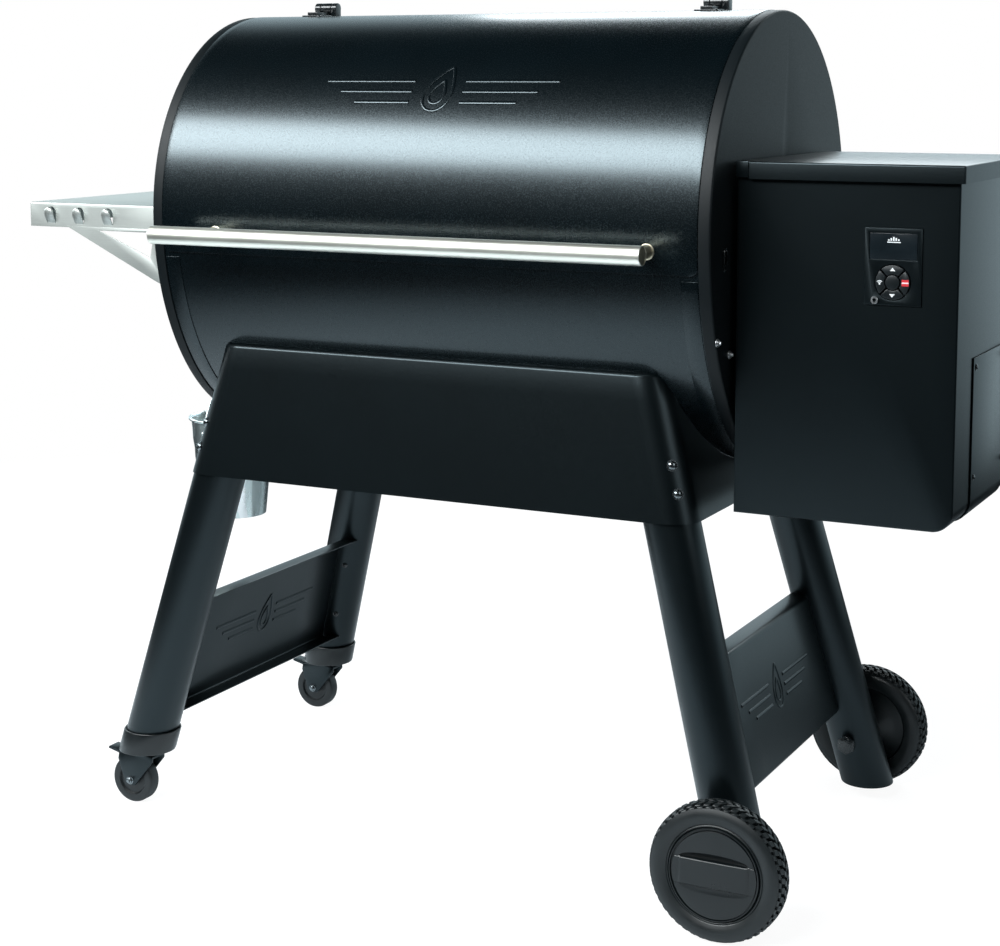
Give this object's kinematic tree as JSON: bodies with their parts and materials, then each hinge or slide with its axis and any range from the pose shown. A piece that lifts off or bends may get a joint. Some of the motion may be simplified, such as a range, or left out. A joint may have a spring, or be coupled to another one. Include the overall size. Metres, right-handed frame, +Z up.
{
  "type": "pellet smoker grill",
  "caption": "Barrel-shaped pellet smoker on splayed legs with a side pellet hopper and controller, hinged lid, side shelf, grease bucket, casters and wheels.",
  "frame": {"origin": "on the floor, under the middle of the whole object's box", "axes": "+X to the hopper end (the cook's right), +Y to the back, +Z up; the lid's handle faces -Y"},
  "size_m": [1.399, 0.689, 1.185],
  "materials": {
    "gloss_powder_coat": "gloss powder coat with a fine grain",
    "satin_black": "satin powder coat",
    "stainless": "brushed",
    "warm_stainless": "brushed tube",
    "brass_tone": "plated",
    "galvanised": "galvanised sheet",
    "aluminised": "aluminised sheet",
    "zinc_plated": "zinc plated",
    "tyre_rubber": "moulded rubber",
    "caster_rubber": "moulded",
    "black_plastic": "fine texture",
    "button_plastic": "smooth",
    "display_window": "smoked window",
    "enamel": "glossy enamel",
    "cast_iron": "bare, heat darkened"
  },
  "bodies": {
    "frame": {"barrel_shell": "gloss_powder_coat", "exhaust_hood": "gloss_powder_coat", "end_cap_left": "satin_black", "end_cap_right": "satin_black", "lid_hinge_base_left": "satin_black", "lid_hinge_base_right": "satin_black", "leg_front_left": "satin_black", "leg_back_left": "satin_black", "leg_front_right": "satin_black", "leg_back_right": "satin_black", "skirt_front": "satin_black", "skirt_back": "satin_black", "brace_left": "satin_black", "brace_right": "satin_black", "axle_bolt_front": "zinc_plated", "axle_bolt_back": "zinc_plated", "caster_socket_front": "black_plastic", "caster_socket_back": "black_plastic", "hopper_box": "satin_black", "hopper_bin": "aluminised", "hopper_side_panel": "satin_black", "control_panel": "black_plastic", "display_lens": "display_window", "power_inlet": "black_plastic", "auger_tube": "aluminised", "auger_motor": "zinc_plated", "fan_frame": "black_plastic", "fire_pot": "cast_iron", "heat_baffle": "cast_iron", "drip_tray": "enamel", "side_shelf": "stainless"},
    "lid": {"lid_shell": "gloss_powder_coat", "lid_handle_bar": "warm_stainless", "handle_post_left": "brass_tone", "handle_post_right": "brass_tone", "lid_hinge_leaf_left": "satin_black", "lid_hinge_leaf_right": "satin_black"},
    "hopper_cover": {"hopper_lid": "satin_black"},
    "wheel_front": {"tyre_front": "tyre_rubber", "wheel_hub_front": "black_plastic"},
    "wheel_back": {"tyre_back": "tyre_rubber", "wheel_hub_back": "black_plastic"},
    "fork_front": {"caster_fork_front": "satin_black"},
    "fork_back": {"caster_fork_back": "satin_black"},
    "roller_front": {"caster_wheel_front": "caster_rubber"},
    "roller_back": {"caster_wheel_back": "caster_rubber"},
    "brake_front": {"caster_brake_front": "satin_black"},
    "brake_back": {"caster_brake_back": "satin_black"},
    "key_right": {"button_right": "button_plastic"},
    "key_up": {"button_up": "button_plastic"},
    "key_left": {"button_left": "button_plastic"},
    "key_down": {"button_down": "button_plastic"},
    "key_centre": {"button_centre": "button_plastic"},
    "rocker": {"power_switch": "button_plastic"},
    "auger": {"auger_screw": "zinc_plated"},
    "fan": {"fan_rotor": "black_plastic"},
    "grate": {"grill_grate": "enamel"},
    "rack": {"upper_rack": "stainless"},
    "bail": {"bucket_bail": "galvanised"},
    "bucket": {"grease_bucket": "galvanised"}
  },
  "joints": [
    {"name": "lid_hinge", "type": "hinge", "parent": "frame", "child": "lid", "pos_m": [-0.0225, 0.03, 1.177], "axis": [-1, 0, 0], "range_deg": [0, 95]},
    {"name": "hopper_lid_hinge", "type": "hinge", "parent": "frame", "child": "hopper_cover", "pos_m": [0.5625, 0.171, 0.961], "axis": [-1, 0, 0], "range_deg": [0, 95]},
    {"name": "wheel_spin_front", "type": "hinge", "parent": "frame", "child": "wheel_front", "pos_m": [0.44099, -0.3235, 0.09], "axis": [0, 1, 0], "continuous": true},
    {"name": "wheel_spin_back", "type": "hinge", "parent": "frame", "child": "wheel_back", "pos_m": [0.44099, 0.3235, 0.09], "axis": [0, 1, 0], "continuous": true},
    {"name": "caster_swivel_front", "type": "hinge", "parent": "frame", "child": "fork_front", "pos_m": [-0.48652, -0.25437, 0.08], "axis": [0, 0, 1], "continuous": true},
    {"name": "caster_swivel_back", "type": "hinge", "parent": "frame", "child": "fork_back", "pos_m": [-0.48652, 0.25437, 0.08], "axis": [0, 0, 1], "continuous": true},
    {"name": "caster_roll_front", "type": "hinge", "parent": "fork_front", "child": "roller_front", "pos_m": [-0.50952, -0.25437, 0.035], "axis": [0, 1, 0], "continuous": true},
    {"name": "caster_roll_back", "type": "hinge", "parent": "fork_back", "child": "roller_back", "pos_m": [-0.50952, 0.25437, 0.035], "axis": [0, 1, 0], "continuous": true},
    {"name": "caster_brake_press_front", "type": "hinge", "parent": "fork_front", "child": "brake_front", "pos_m": [-0.52452, -0.25437, 0.071], "axis": [0, -1, 0], "range_deg": [0, 20]},
    {"name": "caster_brake_press_back", "type": "hinge", "parent": "fork_back", "child": "brake_back", "pos_m": [-0.52452, 0.25437, 0.071], "axis": [0, -1, 0], "range_deg": [0, 20]},
    {"name": "button_press_right", "type": "slide", "parent": "frame", "child": "key_right", "axis": [0, 1, 0], "range_m": [0, 0.001], "stiffness_N_per_m": 400},
    {"name": "button_press_up", "type": "slide", "parent": "frame", "child": "key_up", "axis": [0, 1, 0], "range_m": [0, 0.001], "stiffness_N_per_m": 400},
    {"name": "button_press_left", "type": "slide", "parent": "frame", "child": "key_left", "axis": [0, 1, 0], "range_m": [0, 0.001], "stiffness_N_per_m": 400},
    {"name": "button_press_down", "type": "slide", "parent": "frame", "child": "key_down", "axis": [0, 1, 0], "range_m": [0, 0.001], "stiffness_N_per_m": 400},
    {"name": "button_press_centre", "type": "slide", "parent": "frame", "child": "key_centre", "axis": [0, 1, 0], "range_m": [0, 0.001], "stiffness_N_per_m": 400},
    {"name": "power_switch_rock", "type": "hinge", "parent": "frame", "child": "rocker", "pos_m": [0.588, 0.1635, 0.6], "axis": [1, 0, 0], "range_deg": [0, 14]},
    {"name": "auger_spin", "type": "hinge", "parent": "frame", "child": "auger", "pos_m": [0.3, 0, 0.62], "axis": [1, 0, 0], "continuous": true},
    {"name": "fan_spin", "type": "hinge", "parent": "frame", "child": "fan", "pos_m": [0.4925, 0, 0.53], "axis": [0, 0, 1], "continuous": true},
    {"name": "grate_lift", "type": "slide", "parent": "frame", "child": "grate", "axis": [0, 0, 1], "range_m": [0, 0.04]},
    {"name": "rack_lift", "type": "slide", "parent": "frame", "child": "rack", "axis": [0, 0, 1], "range_m": [0, 0.04]},
    {"name": "bail_swing", "type": "hinge", "parent": "frame", "child": "bail", "pos_m": [-0.5005, 0, 0.5988], "axis": [1, 0, 0], "range_deg": [-10, 10]},
    {"name": "bucket_tilt", "type": "hinge", "parent": "bail", "child": "bucket", "pos_m": [-0.5005, 0, 0.528], "axis": [0, 1, 0], "range_deg": [-4, 10]}
  ]
}
